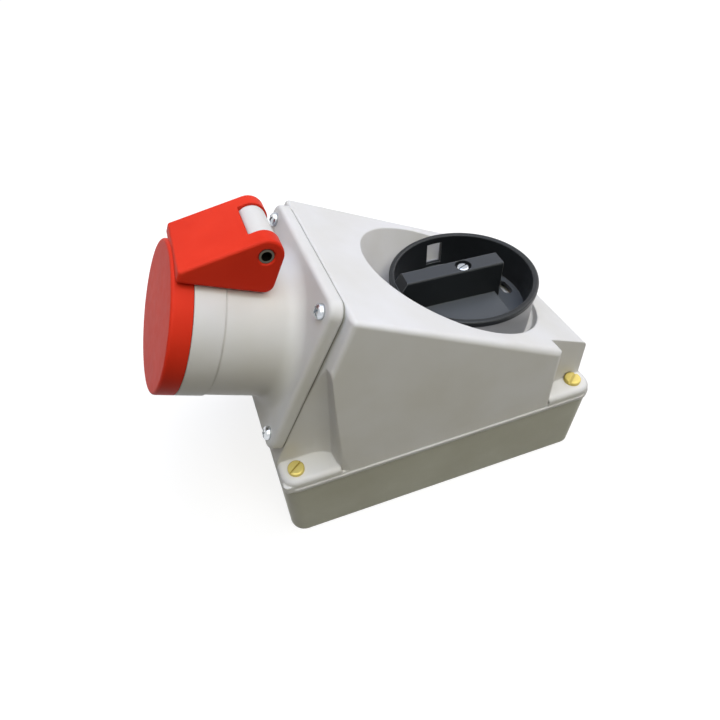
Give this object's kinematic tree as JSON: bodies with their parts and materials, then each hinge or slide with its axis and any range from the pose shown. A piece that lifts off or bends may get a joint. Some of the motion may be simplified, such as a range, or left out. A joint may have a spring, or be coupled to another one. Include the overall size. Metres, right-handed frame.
{
  "type": "industrial socket",
  "caption": "Wall-mounted industrial power socket with a sprung lid, an angled flange and an interlocked rotary switch knob on a wedge-shaped box.",
  "frame": {"origin": "centre of the box's back face, on the wall", "axes": "+Z out of the wall, -X towards the socket, +X towards the knob"},
  "size_m": [0.2541, 0.1354, 0.1832],
  "materials": {
    "shell": "fine moulded grey",
    "lid": "moulded red",
    "knob": "satin black",
    "insulator": "matte black",
    "brass": "turned",
    "zinc": "bright zinc",
    "rubber": "matte"
  },
  "bodies": {
    "box": {"base_box": "shell", "base_gasket": "rubber", "cover_inserts": "brass", "housing_cover": "shell", "cover_screws": "brass", "socket_body": "shell", "flange_gasket": "rubber", "flange_screws": "zinc", "contact_insert": "insulator", "carrier_plate": "insulator", "phase_contacts": "brass", "earth_contact": "brass", "contact_screws": "zinc", "insert_screws": "zinc", "hinge_pin": "zinc", "lid_spring": "zinc", "spindle_seal": "rubber", "switch_body": "insulator", "switch_terminals": "brass", "terminal_screws": "zinc", "bolt_guide": "shell", "mounting_rail": "zinc", "rail_screws": "zinc", "earth_terminal": "brass", "earth_screws": "zinc"},
    "lid": {"lid": "lid", "lid_seal": "rubber"},
    "knob": {"knob": "knob", "knob_screw": "zinc", "switch_spindle": "zinc", "interlock_cam": "zinc"},
    "bolt": {"interlock_bolt": "zinc"}
  },
  "joints": [
    {"name": "lid_hinge", "type": "hinge", "parent": "box", "child": "lid", "pos_m": [-0.07804, 0, 0.17462], "axis": [0, 1, 0], "range_deg": [0, 105], "stiffness_Nm_per_rad": 0.05, "springref_deg": -28.65, "deforming": ["lid_spring"]},
    {"name": "knob_turn", "type": "hinge", "parent": "box", "child": "knob", "pos_m": [0.0388, 0, 0], "axis": [0, 0, 1], "range_deg": [0, 90]},
    {"name": "bolt_slide", "type": "slide", "parent": "box", "child": "bolt", "axis": [-1, 0, 0], "range_m": [0, 0.01]}
  ],
  "couplings": [
    {"joint": "bolt_slide", "follows": "knob_turn", "m_per_rad": 0.0063662}
  ]
}
